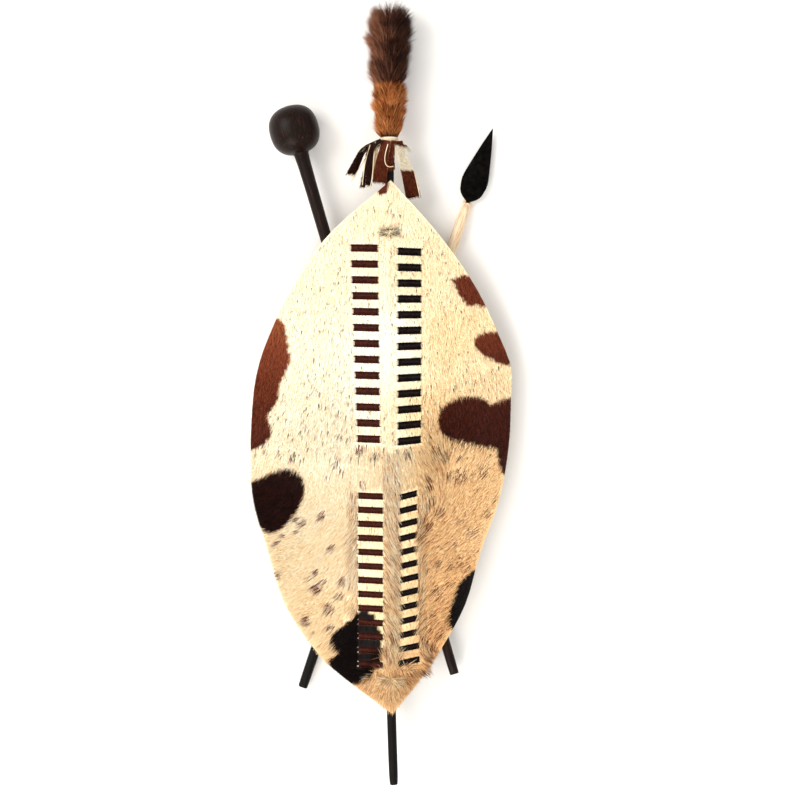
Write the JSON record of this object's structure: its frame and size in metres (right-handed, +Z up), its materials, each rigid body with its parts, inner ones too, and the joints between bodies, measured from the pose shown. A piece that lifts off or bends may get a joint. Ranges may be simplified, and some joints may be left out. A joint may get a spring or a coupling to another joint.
{
  "type": "hide shield",
  "caption": "Leaf-shaped cowhide shield laced with leather strips on a central stick with a fur tail, a knobbed club and a short spear crossed behind it.",
  "frame": {"origin": "on the floor, under the middle of the whole set's outline, with the shield lying face up", "axes": "+Y along the stick towards the fur tail, +Z up out of the haired face, +X to the right as seen from above"},
  "size_m": [0.3014, 0.896, 0.0599],
  "materials": {
    "hide_hair": "cream cow hair with black and brown patches; bare pale skin on the back",
    "strip_brown": "maroon-brown hide strip",
    "strip_black": "near-black hide strip",
    "thong": "tan leather thong",
    "black_wood": "blackened peeled branch",
    "dark_wood": "dark stained, worn reddish in places",
    "pale_wood": "peeled pale wood, blackened at the butt",
    "black_iron": "blackened forged iron",
    "ginger_fur": "ginger fur on the skin",
    "dark_fur": "dark brown fur on the skin",
    "fringe_pale": "white hide with the hair on",
    "fringe_brown": "brown hide with the hair on",
    "fringe_dark": "dark brown hide with the hair on"
  },
  "bodies": {
    "root": {"hide": "hide_hair", "strip_upper_left": "strip_brown", "strip_upper_right": "strip_black", "strip_lower_left": "strip_brown", "strip_lower_right": "strip_black", "stick": "black_wood", "tie_upper": "thong", "tie_lower": "thong", "weapon_loop": "thong", "spear_shaft": "pale_wood", "spear_blade": "black_iron", "club": "dark_wood", "tail_ginger": "ginger_fur", "tail_dark": "dark_fur", "fringe_collar": "fringe_pale", "fringe_outer_left": "fringe_dark", "fringe_left_thin": "fringe_dark", "fringe_left_black": "fringe_dark", "fringe_inner_left": "fringe_pale", "fringe_middle": "fringe_brown", "fringe_curl": "fringe_brown", "fringe_right": "fringe_brown", "fringe_right_dark": "fringe_dark"}
  },
  "joints": []
}
